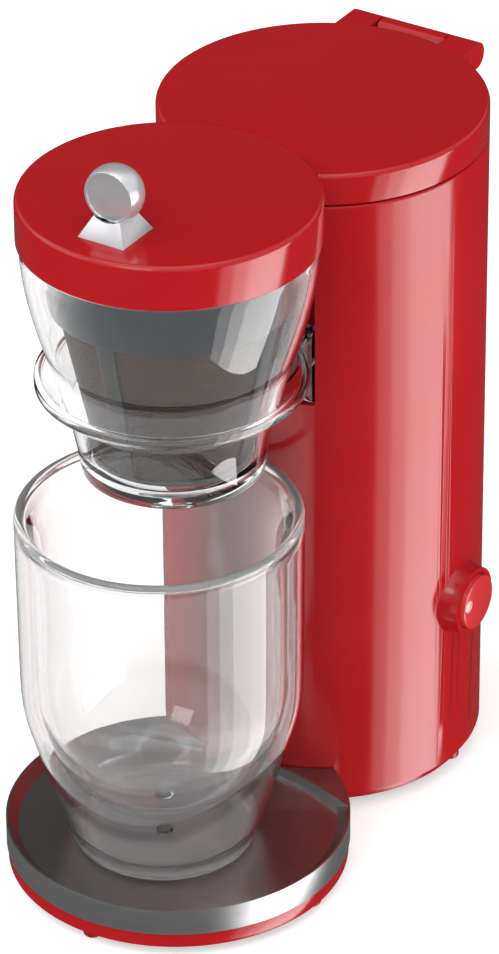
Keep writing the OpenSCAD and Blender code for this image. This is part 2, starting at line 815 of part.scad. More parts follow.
module drip_tray() {
  color("#c3c5c7") at_column() difference() {
    translate([0, -tray_reach, tray_z]) cylinder(r = tray_r, h = tray_rim_z - tray_z);
    translate([0, 0, -1]) cylinder(r = tray_gap_r, h = 40);
    // Shallow dish with sloping sides, closed at the back by a long arc
    intersection() {
      translate([0, -tray_reach, tray_floor_z])
        cylinder(r1 = tray_r - 4, r2 = tray_r - 0.7, h = tray_rim_z - tray_floor_z);
      translate([0, -tray_lip_y - tray_lip_r, 0]) cylinder(r = tray_lip_r, h = 40, $fn = 180);
    }
    // Hollow underside
    difference() {
      translate([0, -tray_reach, tray_z - 1])
        cylinder(r = tray_r - tray_sheet, h = tray_floor_z - tray_sheet - tray_z + 1);
      translate([0, 0, -1]) cylinder(r = tray_gap_r + tray_sheet, h = 40);
    }
  }
}

// ---- Glass ---------------------------------------------------------------------------------

// Outer radius of the outer wall: a cone that rounds into an almost straight side
function glass_outer_r(z) =
  soft_min(glass_foot_r + 0.3 * (z - glass_z), glass_r - 0.008 * (glass_rim_z - z), 0.9);

// Outer radius of the inner wall: a round bowl that flares at its top
function glass_inner_r(z) =
  let (u = max(0, (glass_bowl_z + 50 - z) / 50), v = max(0, (z - glass_rim_z + 20) / 20))
  glass_bowl_r * pow(max(0, 1 - pow(u, 2.3)), 1 / 2.3) + 4.2 * pow(v, 3);

module glass_outer() {
  levels = [for (i = [0:16]) glass_z + (glass_lip_z - glass_z) * i / 16];
  side = [for (i = [1:16]) [glass_outer_r(levels[i]), levels[i]]];
  foot = arc([glass_foot_r - 3.6, glass_z + 4], 4, -90, -10, 5);
  inner = [for (i = [16:-1:1]) [glass_outer_r(levels[i]) - glass_wall, levels[i]]];
  color("#eef3f4", 0.35) at_glass() rotate_extrude()
    polygon(concat([[2, glass_z]], foot, side, inner,
                   [[glass_foot_r - 6, glass_z + 2], [2, glass_z + 2]]));
}

module glass_inner() {
  low = [for (a = [0:9:81]) glass_bowl_z + 50 * (1 - cos(a))];
  high = [for (i = [0:5]) glass_bowl_z + 50 + (glass_lip_z - glass_bowl_z - 50) * i / 5];
  outer = [for (z = concat(low, high)) [glass_inner_r(z), z]];
  last = len(outer) - 1;
  inner = [for (i = [last:-1:1]) outer[i] + [-glass_wall, i < 7 ? glass_wall * 0.75 : 0]];
  lip_in = glass_inner_r(glass_rim_z) - glass_wall;
  color("#eef3f4", 0.35) at_glass() rotate_extrude()
    polygon(concat(outer, [[glass_r, glass_lip_z], [glass_r, glass_rim_z - 1.5]],
                   arc([glass_r - 1.5, glass_rim_z - 1.5], 1.5, 0, 90, 4),
                   [[lip_in + 1, glass_rim_z], [lip_in, glass_rim_z - 1]],
                   inner, [[0, glass_bowl_z + glass_wall]]));
}

module glass_plug() {
  color("#d7dadb") at_glass() translate([0, 0, glass_z + 0.4]) {
    cylinder(r = 2 - eps, h = 1.6);
    translate([0, 0, 1.6]) cylinder(r1 = 3.4, r2 = 1.6, h = 2.4);
  }
}

body_shell();
base_moulding();
base_cover();
base_screws();
feet();
water_tank();
tank_screen();
inlet_hose();
check_valve();
heater();
heater_bracket();
thermostat();
thermal_fuse();
riser_hose();
outlet_nozzle();
nozzle_gasket();
terminal_block();
switch_module();
wiring();
cord_grommet();
hinge_pin();
dripper_holder();
holder_screws();
tank_lid();
power_button();
lamp_lens();
button_spring();
dripper_cup();
filter_frame();
filter_mesh();
dripper_lid();
shower_plate();
knob_base();
knob_ball();
knob_screw();
drip_tray();
glass_outer();
glass_inner();
glass_plug();
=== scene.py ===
import json
import math

import bmesh
import bpy
from mathutils import Matrix, Vector

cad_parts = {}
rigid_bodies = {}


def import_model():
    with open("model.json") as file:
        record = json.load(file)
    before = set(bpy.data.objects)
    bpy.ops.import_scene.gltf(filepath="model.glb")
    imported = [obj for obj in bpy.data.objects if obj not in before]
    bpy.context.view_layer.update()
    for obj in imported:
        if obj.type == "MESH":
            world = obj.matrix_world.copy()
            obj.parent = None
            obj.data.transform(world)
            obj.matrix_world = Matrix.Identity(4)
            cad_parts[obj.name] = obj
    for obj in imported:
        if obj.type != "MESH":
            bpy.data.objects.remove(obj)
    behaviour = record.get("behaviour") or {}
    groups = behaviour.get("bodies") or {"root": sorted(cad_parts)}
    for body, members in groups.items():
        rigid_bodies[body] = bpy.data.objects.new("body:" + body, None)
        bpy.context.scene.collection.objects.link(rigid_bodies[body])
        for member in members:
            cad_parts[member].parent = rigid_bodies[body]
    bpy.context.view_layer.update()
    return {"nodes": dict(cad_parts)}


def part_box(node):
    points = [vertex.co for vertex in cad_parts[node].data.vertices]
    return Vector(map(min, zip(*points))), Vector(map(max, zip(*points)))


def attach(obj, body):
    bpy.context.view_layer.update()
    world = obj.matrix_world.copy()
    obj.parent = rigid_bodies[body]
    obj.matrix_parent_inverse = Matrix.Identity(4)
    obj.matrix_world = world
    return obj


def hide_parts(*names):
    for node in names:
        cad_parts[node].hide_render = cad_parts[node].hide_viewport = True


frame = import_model()
nodes = frame["nodes"]

# ---- Camera ----
# A long lens looks down at the machine from its front right, a little above the lids.
camera_data = bpy.data.cameras.new("camera")
camera_data.lens = 203.3
camera_data.sensor_width = 36
camera_data.clip_end = 50
camera = bpy.data.objects.new("camera", camera_data)
bpy.context.scene.collection.objects.link(camera)
camera.location = (0.77194, -1.22776, 1.00658)
camera.rotation_euler = (Matrix.Rotation(math.radians(32.293), 3, "Z")
                         @ Matrix.Rotation(math.radians(58.515), 3, "X")
                         @ Matrix.Rotation(math.radians(-0.448), 3, "Z")).to_euler()
bpy.context.scene.camera = camera

# ---- Table, walls and lamps ----
# A pale table in a bright room with a dark screen behind, and four soft lamps. The right one
# is graded and reaches below the table's edge, so upright gloss walls show it whole.
scene = bpy.context.scene
scene.view_settings.view_transform = "Standard"
MM = 0.001


def linear(hex_colour, alpha=1.0):
    """An sRGB hex colour as linear RGBA."""
    parts = [int(hex_colour[i:i + 2], 16) / 255 for i in (1, 3, 5)]
    return [c / 12.92 if c <= 0.04045 else ((c + 0.055) / 1.055) ** 2.4 for c in parts] + [alpha]


def add(tree, kind, settings=None, links=None):
    """A node with its settings, by property or socket, and its incoming links."""
    node = tree.nodes.new(kind)
    for name, value in (settings or {}).items():
        if isinstance(name, str) and hasattr(node, name):
            setattr(node, name, value)
        else:
            node.inputs[name].default_value = value
    for socket, source in (links or {}).items():
        tree.links.new(source, node.inputs[socket])
    return node


def let_go():
    """Leaves edit mode with nothing selected."""
    if bpy.context.object and bpy.context.object.mode != "OBJECT":
        bpy.ops.object.mode_set(mode="OBJECT")
    bpy.ops.object.select_all(action="DESELECT")


def new_material(name):
    """An empty material, its node tree and its output node."""
    material = bpy.data.materials.new(name)
    material.use_nodes = True
    tree = material.node_tree
    tree.nodes.clear()
    return material, tree, add(tree, "ShaderNodeOutputMaterial")


let_go()
bpy.ops.mesh.primitive_plane_add(size=14, location=(0, 2, 0))
table = bpy.context.object
table.name = "table"
table.visible_glossy = False
table_white, tree, out = new_material("table_white_laminate")
place = add(tree, "ShaderNodeTexCoord")
mottle = add(tree, "ShaderNodeTexNoise", {"Scale": 3.0, "Detail": 2.0}, {"Vector": place.outputs["Object"]})
tint = add(tree, "ShaderNodeValToRGB", {}, {"Fac": mottle.outputs["Fac"]})
tint.color_ramp.elements[0].color = linear("#e6e6e6")
tint.color_ramp.elements[1].color = linear("#eaeaea")
sheet = add(tree, "ShaderNodeBsdfPrincipled",
            {"Roughness": 0.9, "Emission Color": (1, 1, 1, 1), "Emission Strength": 0.5},
            {"Base Color": tint.outputs["Color"]})
tree.links.new(sheet.outputs["BSDF"], out.inputs["Surface"])
table.data.materials.append(table_white)

world = bpy.data.worlds.new("room")
world.use_nodes = True
scene.world = world
tree = world.node_tree
heading = add(tree, "ShaderNodeTexCoord")
axes = add(tree, "ShaderNodeSeparateXYZ", {}, {"Vector": heading.outputs["Generated"]})
above = add(tree, "ShaderNodeMapRange", {"interpolation_type": "SMOOTHSTEP", "From Min": 0.0, "From Max": 0.35,
                                         "To Min": 0.07, "To Max": 0.8}, {"Value": axes.outputs["Z"]})
lean = add(tree, "ShaderNodeVectorMath", {"operation": "DOT_PRODUCT", 1: (-0.452, 0.723, 0.5225)},
           {0: heading.outputs["Generated"]})
screen = add(tree, "ShaderNodeMapRange", {"interpolation_type": "SMOOTHSTEP", "From Min": 0.7, "From Max": 0.9,
                                          "To Min": 1.0, "To Max": 0.12}, {"Value": lean.outputs["Value"]})
room = add(tree, "ShaderNodeMath", {"operation": "MULTIPLY"}, {0: above.outputs["Result"], 1: screen.outputs["Result"]})
tree.links.new(room.outputs["Value"], tree.nodes["Background"].inputs["Color"])
tree.nodes["Background"].inputs["Strength"].default_value = 1.0


def soft_box(name, azimuth, reach, size, height, power, tilt=90, shift=0.0):
    """An area lamp at a compass angle from the front, that faces the machine's middle."""
    lamp_data = bpy.data.lights.new(name, "AREA")
    lamp_data.shape = "RECTANGLE"
    lamp_data.size, lamp_data.size_y = size
    lamp_data.energy = power
    lamp = bpy.data.objects.new(name, lamp_data)
    scene.collection.objects.link(lamp)
    a = math.radians(azimuth)
    lamp.location = (reach * math.sin(a) + shift * math.cos(a), -reach * math.cos(a) + shift * math.sin(a), height)
    lamp.rotation_euler = (math.radians(tilt), 0, a)
    return lamp


for strip, share in enumerate((0.5, 1.1, 1.7, 1.6, 1.4)):
    soft_box(f"soft_box_right_{strip}", 96, 1.6, (0.34, 2.3), -0.85, 10.5 * share, shift=0.34 * (strip - 2))
soft_box("soft_box_left", -60, 1.6, (1.6, 1.3), 1.3, 7, 60)
soft_box("overhead", 10, 0.5, (2.2, 2.2), 2.3, 15, 12)
soft_box("front_fill", 5, 2.4, (1.2, 0.9), 2.3, 15, 46)

# ---- Column ----
# The body is one tall round shell, injection moulded in red gloss ABS and stood on its foot.
# Its front is cut back for the dripper, a flared boss carries the button on its right side,
# and a neck behind the top carries the lid's hinge.
cup_low, cup_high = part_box("dripper_cup")
dripper = Vector(((cup_low.x + cup_high.x) / 2, (cup_low.y + cup_high.y) / 2, 0))
column = dripper + Vector((0, 88 * MM, 0))


def turned(name, outline, middle, along="Z", steps=128, inside=False):
    """A turned piece: the outline of (radius, height) in mm is drawn and spun round its axis."""
    if along == "Z":
        line = [middle + Vector((r * MM, 0, h * MM)) for r, h in outline]
    else:
        line = [middle + Vector((h * MM, 0, r * MM)) for r, h in outline]
    let_go()
    bpy.ops.mesh.primitive_plane_add(size=0.001, location=(0, 0, 0))
    piece = bpy.context.object
    piece.name = piece.data.name = name
    bpy.ops.object.mode_set(mode="EDIT")
    bpy.ops.mesh.select_all(action="SELECT")
    bpy.ops.mesh.merge(type="CENTER")
    bpy.ops.transform.translate(value=line[0])
    for before, after in zip(line, line[1:]):
        bpy.ops.mesh.extrude_region_move(TRANSFORM_OT_translate={"value": after - before})
    bpy.ops.mesh.select_all(action="SELECT")
    axis = (0, 0, 1) if along == "Z" else (1, 0, 0)
    bpy.ops.mesh.spin(steps=steps, angle=math.tau, center=middle, axis=axis)
    bpy.ops.mesh.select_all(action="SELECT")
    bpy.ops.mesh.remove_doubles(threshold=0.000005)
    bpy.ops.mesh.normals_make_consistent(inside=inside)
    bpy.ops.object.mode_set(mode="OBJECT")
    return piece


def block(name, low, high, middle=None):
    """A block between two corners given in mm from the column's axis."""
    middle = column if middle is None else middle
    low, high = Vector(low) * MM + middle, Vector(high) * MM + middle
    let_go()
    bpy.ops.mesh.primitive_cube_add(size=1, location=(low + high) / 2, scale=high - low)
    piece = bpy.context.object
    piece.name = piece.data.name = name
    bpy.ops.object.transform_apply(location=True, rotation=True, scale=True)
    return piece


def take(piece):
    """Selects one piece and makes it active."""
    let_go()
    piece.select_set(True)
    bpy.context.view_layer.objects.active = piece


def cut(piece, tool, operation="DIFFERENCE"):
    """Cuts, joins or keeps what both share, and uses the tool up."""
    take(piece)
    step = piece.modifiers.new("cut", "BOOLEAN")
    step.operation = operation
    step.object = tool
    bpy.ops.object.modifier_apply(modifier="cut")
    bpy.data.objects.remove(tool)
    return piece


def ease(piece, width, segments=3, angle=32):
    """Rounds every edge that turns by more than an angle, to a width in mm."""
    take(piece)
    step = piece.modifiers.new("ease", "BEVEL")
    step.width = width * MM
    step.segments = segments
    step.limit_method = "ANGLE"
    step.angle_limit = math.radians(angle)
    step.harden_normals = False
    bpy.ops.object.modifier_apply(modifier="ease")
    return piece


def settle(piece, body, slot_name, material, *stands_for, angle=32):
    """Smooths a finished piece, gives it its material and puts it on its body."""
    take(piece)
    bpy.ops.object.shade_smooth_by_angle(angle=math.radians(angle))
    piece.data.materials.clear()
    piece.data.materials.append(material)
    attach(piece, body)
    if stands_for:
        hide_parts(*stands_for)
    return piece


def moulded_gloss(name, deep, bright, roughness=0.13, grain_mm=9.0, coat=0.0):
    """Polished ABS: an even colour with faint flow marks, and a skin with slight orange peel."""
    material, tree, out = new_material(name)
    place = add(tree, "ShaderNodeTexCoord")
    flow = add(tree, "ShaderNodeTexNoise", {"Scale": 1 / (grain_mm * 3 * MM), "Detail": 3.0},
               {"Vector": place.outputs["Object"]})
    peel = add(tree, "ShaderNodeTexNoise", {"Scale": 1 / (grain_mm * MM), "Detail": 1.0},
               {"Vector": place.outputs["Object"]})
    colour = add(tree, "ShaderNodeValToRGB", {}, {"Fac": flow.outputs["Fac"]})
    colour.color_ramp.elements[0].position = 0.3
    colour.color_ramp.elements[0].color = linear(deep)
    colour.color_ramp.elements[1].position = 0.7
    colour.color_ramp.elements[1].color = linear(bright)
    shine = add(tree, "ShaderNodeMapRange",
                {"From Min": 0.3, "From Max": 0.7, "To Min": roughness * 0.85, "To Max": roughness * 1.15},
                {"Value": flow.outputs["Fac"]})
    skin = add(tree, "ShaderNodeBump", {"Strength": 0.04, "Distance": 0.0004},
               {"Height": peel.outputs["Fac"]})
    shader = add(tree, "ShaderNodeBsdfPrincipled",
                 {"IOR": 1.5, "Specular IOR Level": 0.45, "Coat Weight": coat},
                 {"Base Color": colour.outputs["Color"], "Roughness": shine.outputs["Result"],
                  "Normal": skin.outputs["Normal"]})
    tree.links.new(shader.outputs["BSDF"], out.inputs["Surface"])
    return material


COLUMN_R = 52
INNER_R = 49.5
BUTTON_Z = 67.5
red_gloss_abs = moulded_gloss("red_gloss_abs", "#ac1118", "#b01219", 0.16)
shell = turned("column_shell", [(0, 7.5), (COLUMN_R, 7.5), (COLUMN_R, 222.7), (51.6, 223.4), (50.9, 223.7), (0, 223.7)], column, steps=144)
flare = [(0, 44), (15.2, 44), (14.8, 47), (13.6, 48.6), (12.7, 50.2), (12.0, 51.9), (11.6, 53.7), (11.3, 55.5),
         (11.2, 57), (0, 57)]
boss = turned("boss", flare, column + Vector((0, 0, BUTTON_Z)) * MM, "X", 96)
cut(shell, boss, "UNION")
cut(shell, block("recess", (-25, -60, 153.7), (25, -42, 240)))
hollow = turned("hollow", [(0, 5), (INNER_R, 5), (INNER_R, 230), (0, 230)], column, steps=144)
cut(hollow, block("recess_wall", (-27.5, -60, 151.2), (27.5, -39.5, 240)))
cut(shell, hollow)
cut(shell, turned("button_bore", [(0, 40), (9.3, 40), (9.3, 62), (0, 62)],
                  column + Vector((0, 0, BUTTON_Z)) * MM, "X", 96))
ease(shell, 0.5, 3, 40)
neck = block("neck", (-12, 50.6, 204), (12, 60.48, 230))
take(neck)
bpy.ops.object.mode_set(mode="EDIT")
neck_mesh = bmesh.from_edit_mesh(neck.data)
for edge in neck_mesh.edges:
    middle = (edge.verts[0].co + edge.verts[1].co) / 2 - column
    edge.select_set(middle.y > 60 * MM and middle.z < 205 * MM)
neck_mesh.select_flush_mode()
bmesh.update_edit_mesh(neck.data)
bpy.ops.mesh.bevel(offset=14 * MM, offset_type="OFFSET", segments=1, profile=0.5)
bpy.ops.object.mode_set(mode="OBJECT")
knuckle = turned("knuckle", [(0, -11.97), (4.5, -11.97), (4.5, 11.97), (0, 11.97)],
                 column + Vector((0, 56, 230)) * MM, "X", 48)
cut(neck, knuckle, "UNION")
cut(shell, neck, "UNION")
settle(shell, "housing", "red_body", red_gloss_abs, "body_shell")

# ---- Red base and its feet ----
# The base is one red moulding: a plug that closes the column's foot, and a thin round plate
# that runs forward under the tray. Six small soft feet are pressed into its underside.
def own_copy(node, name):
    """A CAD node's shape as a new piece with its loose triangles merged."""
    take(nodes[node])
    bpy.ops.object.duplicate()
    piece = bpy.context.object
    bpy.ops.object.parent_clear(type="CLEAR_KEEP_TRANSFORM")
    for key in list(piece.keys()):
        del piece[key]
    piece.name = piece.data.name = name
    bpy.ops.object.mode_set(mode="EDIT")
    bpy.ops.mesh.select_all(action="SELECT")
    bpy.ops.mesh.remove_doubles(threshold=0.000005)
    bpy.ops.mesh.dissolve_limited(angle_limit=math.radians(0.5))
    bpy.ops.object.mode_set(mode="OBJECT")
    return piece


red_base_abs = moulded_gloss("red_base_abs", "#a81118", "#ac1219", 0.16)
base = own_copy("base_moulding", "red_base")
ease(base, 0.35, 2, 40)
settle(base, "housing", "red_body", red_base_abs, "base_moulding")

red_foot_tpe = moulded_gloss("red_foot_tpe", "#8c1216", "#94151a", 0.3)
foot_places = [(46 * math.cos(a), 46 * math.sin(a)) for a in map(math.radians, (7, 90, 173))]
foot_places += [(50, -88.5), (-50, -88.5), (0, -138.5)]
feet = []
for x, y in foot_places:
    foot = turned("foot", [(0, 0), (2.3, 0), (3, 0.7), (3, 3.5), (1.2, 3.5), (1.2, 5.9), (0, 5.9)],
                  column + Vector((x, y, 0)) * MM, steps=32)
    feet.append(ease(foot, 0.25, 2, 30))
let_go()
for foot in feet:
    foot.select_set(True)
bpy.context.view_layer.objects.active = feet[0]
bpy.ops.object.join()
feet[0].name = feet[0].data.name = "six_feet"
settle(feet[0], "housing", "red_foot", red_foot_tpe, "feet")

# ---- Bottom cover and its screws ----
# A flat black cover with air slots closes the base from below and is held by seven screws.
def moulded_matt(name, deep, bright, roughness=0.5, grain_mm=0.8, depth_mm=0.05, grip=0.5):
    """Spark-eroded plastic or rubber: an even colour broken by a fine grain."""
    material, tree, out = new_material(name)
    place = add(tree, "ShaderNodeTexCoord")
    grain = add(tree, "ShaderNodeTexNoise", {"Scale": 1 / (grain_mm * MM), "Detail": 2.0},
                {"Vector": place.outputs["Object"]})
    cloud = add(tree, "ShaderNodeTexNoise", {"Scale": 1 / (25 * MM), "Detail": 2.0},
                {"Vector": place.outputs["Object"]})
    colour = add(tree, "ShaderNodeValToRGB", {}, {"Fac": cloud.outputs["Fac"]})
    colour.color_ramp.elements[0].color = linear(deep)
    colour.color_ramp.elements[1].color = linear(bright)
    skin = add(tree, "ShaderNodeBump", {"Strength": 0.35, "Distance": depth_mm * MM},
               {"Height": grain.outputs["Fac"]})
    shader = add(tree, "ShaderNodeBsdfPrincipled",
                 {"Roughness": roughness, "Specular IOR Level": grip},
                 {"Base Color": colour.outputs["Color"], "Normal": skin.outputs["Normal"]})
    tree.links.new(shader.outputs["BSDF"], out.inputs["Surface"])
    return material


def finish_metal(name, deep, bright, roughness, stretch=(1, 1, 1), grain_mm=0.5, depth_mm=0.01, metal=1.0):
    """Metal with lines or grain of a real spacing: stretch draws the grain out along an axis."""
    material, tree, out = new_material(name)
    place = add(tree, "ShaderNodeTexCoord")
    turn = add(tree, "ShaderNodeMapping", {"Scale": stretch}, {"Vector": place.outputs["Object"]})
    grain = add(tree, "ShaderNodeTexNoise", {"Scale": 1 / (grain_mm * MM), "Detail": 3.0},
                {"Vector": turn.outputs["Vector"]})
    colour = add(tree, "ShaderNodeValToRGB", {}, {"Fac": grain.outputs["Fac"]})
    colour.color_ramp.elements[0].position = 0.3
    colour.color_ramp.elements[0].color = linear(deep)
    colour.color_ramp.elements[1].position = 0.7
    colour.color_ramp.elements[1].color = linear(bright)
    shine = add(tree, "ShaderNodeMapRange",
                {"From Min": 0.3, "From Max": 0.7, "To Min": roughness * 0.92, "To Max": roughness * 1.08},
                {"Value": grain.outputs["Fac"]})
    skin = add(tree, "ShaderNodeBump", {"Strength": 0.5, "Distance": depth_mm * MM},
               {"Height": grain.outputs["Fac"]})
    shader = add(tree, "ShaderNodeBsdfPrincipled", {"Metallic": metal},
                 {"Base Color": colour.outputs["Color"], "Roughness": shine.outputs["Result"],
                  "Normal": skin.outputs["Normal"]})
    tree.links.new(shader.outputs["BSDF"], out.inputs["Surface"])
    return material


def dress(node, material):
    """Gives a CAD node that stays its material."""
    nodes[node].data.materials.clear()
    nodes[node].data.materials.append(material)


black_grained_abs = moulded_matt("black_grained_abs", "#161618", "#1e1e20", 0.5)
turned_steel = finish_metal("turned_steel", "#a4a5a7", "#c9cacc", 0.25, (1, 1, 4), 1.2)
dress("base_cover", black_grained_abs)
dress("base_screws", turned_steel)

# ---- Tank, hoses and heater ----
# A frosted tank hangs in the column. Silicone hoses lead from it through a check valve to a
# cast aluminium heater ring in the foot, and from there up to the outlet over the dripper.
frosted_pp = moulded_matt("frosted_polypropylene", "#c3c8c9", "#d2d6d7", 0.4, 1.5, 0.03)
milky_silicone = moulded_matt("milky_silicone", "#d6d3c6", "#e4e1d6", 0.45, 1.2, 0.03)
white_nylon = moulded_matt("white_nylon", "#dedddA", "#ecebe8", 0.4, 1.0)
cream_steatite = moulded_matt("cream_steatite", "#d2c8ae", "#e0d7c0", 0.6, 0.6, 0.06)
red_cable_jacket = moulded_matt("red_cable_jacket", "#8f2018", "#a82a20", 0.4, 0.6, 0.02)
black_rubber = moulded_matt("black_rubber", "#131314", "#1c1c1d", 0.65, 0.9, 0.05)
cast_aluminium = finish_metal("cast_aluminium", "#a6a8ab", "#c5c7ca", 0.42, (1, 1, 1), 0.9, 0.08)
woven_steel_screen = finish_metal("woven_steel_screen", "#7d7f80", "#b3b4b5", 0.35, (1, 1, 1), 0.4, 0.08)
for node, material in (
        ("water_tank", frosted_pp), ("tank_screen", woven_steel_screen), ("inlet_hose", milky_silicone),
        ("check_valve", white_nylon), ("heater", cast_aluminium), ("heater_bracket", turned_steel),
        ("thermostat", cream_steatite), ("thermal_fuse", white_nylon), ("riser_hose", milky_silicone),
        ("outlet_nozzle", white_nylon), ("nozzle_gasket", milky_silicone)):
    dress(node, material)

# ---- Switch, terminals and wires ----
# The button presses a latching switch on a black module, and red insulated wires join it, the
# terminal block, the fuse and the heater. A rubber grommet lines the cord's way in.
for node, material in (
        ("switch_module", black_grained_abs), ("terminal_block", black_grained_abs),
        ("wiring", red_cable_jacket), ("cord_grommet", black_rubber), ("button_spring", turned_steel)):
    dress(node, material)

# ---- Tank lid and hinge pin ----
# A shallow red lid covers the tank. Its front is cut round to clear the dripper's lid, and two
# ears at its back turn with it on a steel pin through the column's knuckle.
red_lid_abs = moulded_gloss("red_lid_abs", "#aa1118", "#ae1219", 0.14)


def rounded_edge(radius, height, bend, count=6):
    """The outline round an outer top edge, from its side to its top."""
    return [(radius - bend + bend * math.cos(math.radians(90 * i / count)),
             height - bend + bend * math.sin(math.radians(90 * i / count))) for i in range(count + 1)]


tank_lid = turned("tank_lid_piece", [(0, 224.4), (COLUMN_R, 224.4)] + rounded_edge(COLUMN_R, 234.5, 1.8) + [(0, 234.5)],
                  column, steps=144)
cut(tank_lid, turned("dripper_notch", [(0, 214), (47.2, 214), (47.2, 254), (0, 254)], dripper, steps=144))
cut(tank_lid, block("inlet_notch", (-10, -60, 214), (10, -35.5, 254)))
cut(tank_lid, block("knuckle_gap", (-12.4, 50.9, 223), (12.4, 66, 236)))
lid_hollow = turned("lid_hollow", [(0, 220), (INNER_R, 220), (INNER_R, 232), (0, 232)], column, steps=144)
cut(lid_hollow, turned("notch_wall", [(0, 214), (49.7, 214), (49.7, 254), (0, 254)], dripper, steps=144))
cut(lid_hollow, block("inlet_wall", (-12.5, -60, 214), (12.5, -33, 254)))
cut(tank_lid, lid_hollow)
ease(tank_lid, 0.7, 3, 40)
for x0, x1 in ((12.4, 23), (-23, -12.4)):
    ear = block("ear", (x0, 44, 225.6), (x1, 56, 234.46))
    barrel = turned("barrel", [(0, x0 + 0.03), (4.5, x0 + 0.03), (4.5, x1 - 0.03), (0, x1 - 0.03)],
                    column + Vector((0, 56, 230)) * MM, "X", 48)
    cut(ear, barrel, "UNION")
    cut(tank_lid, ear, "UNION")
settle(tank_lid, "tank_lid", "red_lid", red_lid_abs, "tank_lid")
dress("hinge_pin", turned_steel)

# ---- Button and its lamp ----
# The round red button is slightly domed and moves in the boss. A small lens of clear pink
# plastic near its front edge shows the lamp behind it.
# The button's red is lighter than the column's red. This is painted light: a lit copy of the same red, standing in for
# the light that falls on the button.
red_button_painted_lit = moulded_gloss("red_button_painted_lit", "#c22a2c", "#c93033", 0.22)
axle = column + Vector((0, 0, BUTTON_Z)) * MM


def dome(radius, height, rise_radius, count=8):
    """The outline of a shallow dome from its rim to its middle."""
    centre = height - rise_radius
    last = math.asin(radius / rise_radius)
    return [(rise_radius * math.sin(last * (1 - i / count)),
             centre + rise_radius * math.cos(last * (1 - i / count))) for i in range(count + 1)]


button = turned("button_cap", [(0, 50.9), (10.6, 50.9), (10.6, 52.6), (9, 52.6)] + dome(9, 59.5, 45), axle, "X", 96)
lamp_axle = axle + Vector((0, -6.2, 1.6)) * MM
cut(button, turned("lamp_bore", [(0, 55), (2.3, 55), (2.3, 63), (0, 63)], lamp_axle, "X", 40))
ease(button, 0.5, 3, 40)
settle(button, "button", "button_red", red_button_painted_lit, "power_button")

lamp_lens_pink, tree, out = new_material("lamp_lens_pink_pmma")
place = add(tree, "ShaderNodeTexCoord")
haze = add(tree, "ShaderNodeTexNoise", {"Scale": 1 / (1.5 * MM)}, {"Vector": place.outputs["Object"]})
glow = add(tree, "ShaderNodeValToRGB", {}, {"Fac": haze.outputs["Fac"]})
glow.color_ramp.elements[0].color = linear("#d98a85")
glow.color_ramp.elements[1].color = linear("#f0b5b0")
shader = add(tree, "ShaderNodeBsdfPrincipled",
             {"Roughness": 0.15, "IOR": 1.49, "Emission Color": linear("#ff9d96"), "Emission Strength": 0.06},
             {"Base Color": glow.outputs["Color"]})
tree.links.new(shader.outputs["BSDF"], out.inputs["Surface"])
lens = turned("lamp_window", [(0, 55.5), (2.2, 55.5)] + dome(2.2, 59.5, 4), lamp_axle, "X", 40)
settle(lens, "button", "lamp", lamp_lens_pink, "lamp_lens")

# ---- Dripper holder ----
# A hoop of clear plastic carries the dripper. It is moulded in one with a plate that two small
# screws hold against the back of the column's recess.
def clear_plastic(name, tint, ior, roughness, wave_mm, depth_mm, glint=0.5):
    """Clear moulded or blown material: a faint tint and slow waves in its surface."""
    material, tree, out = new_material(name)
    place = add(tree, "ShaderNodeTexCoord")
    wave = add(tree, "ShaderNodeTexNoise", {"Scale": 1 / (wave_mm * MM), "Detail": 1.0},
               {"Vector": place.outputs["Object"]})
    skin = add(tree, "ShaderNodeBump", {"Strength": 0.3, "Distance": depth_mm * MM},
               {"Height": wave.outputs["Fac"]})
    shader = add(tree, "ShaderNodeBsdfPrincipled",
                 {"Base Color": linear(tint), "Roughness": roughness, "IOR": ior, "Specular IOR Level": glint,
                  "Transmission Weight": 1.0},
                 {"Normal": skin.outputs["Normal"]})
    tree.links.new(shader.outputs["BSDF"], out.inputs["Surface"])
    return material


def cup_r(height):
    """The dripper's outer radius at a height above the table, in mm."""
    t = (height - 147.7) / (226.5 - 147.7)
    return 28.5 + 16.9 * t * (0.412 + 2.256 * t - 1.668 * t * t)


clear_san = clear_plastic("clear_san", "#fafbfb", 1.5, 0.01, 14, 0.01, 0.15)
hoop = turned("holder_hoop", [(cup_r(170) + 0.4, 170), (cup_r(173) + 0.4, 173), (39.5, 178.5), (39.5, 180),
                              (42, 180), (42, 177), (41, 176.2), (cup_r(170) + 0.4, 170)], dripper, steps=144)
ease(hoop, 0.4, 3, 40)
plate = block("plate", (-24.6, -45.2, 154), (24.6, -42.02, 179.9))
ease(plate, 0.5, 3, 40)
shelf = block("shelf", (-24.5, -60, 176.9), (24.5, -43, 179.6))
cut(shelf, turned("hoop_space", [(0, 150), (40.6, 150), (40.6, 200), (0, 200)], dripper, steps=144))
cut(plate, shelf, "UNION")
for x in (-24.4, 22.4):
    gusset = block("gusset", (x, -54, 154.4), (x + 2, -43.1, 178))
    take(gusset)
    bpy.ops.object.mode_set(mode="EDIT")
    bpy.ops.mesh.select_all(action="SELECT")
    start = column + Vector((x, -45.1, 154.4)) * MM
    bpy.ops.mesh.bisect(plane_co=start, plane_no=(0, -23, -9), use_fill=True, clear_outer=True)
    bpy.ops.object.mode_set(mode="OBJECT")
    cut(plate, gusset, "UNION")
cut(hoop, plate, "UNION")
for x in (-17, 17):
    bore = turned("screw_bore", [(0, -60), (1.55, -60), (1.55, -30), (0, -30)], Vector(), steps=24)
    bore.matrix_world = Matrix.Translation(column + Vector((x, 0, 166)) * MM) @ Matrix.Rotation(math.radians(-90), 4, "X")
    cut(hoop, bore)
settle(hoop, "housing", "clear_plastic", clear_san, "dripper_holder")
dress("holder_screws", turned_steel)

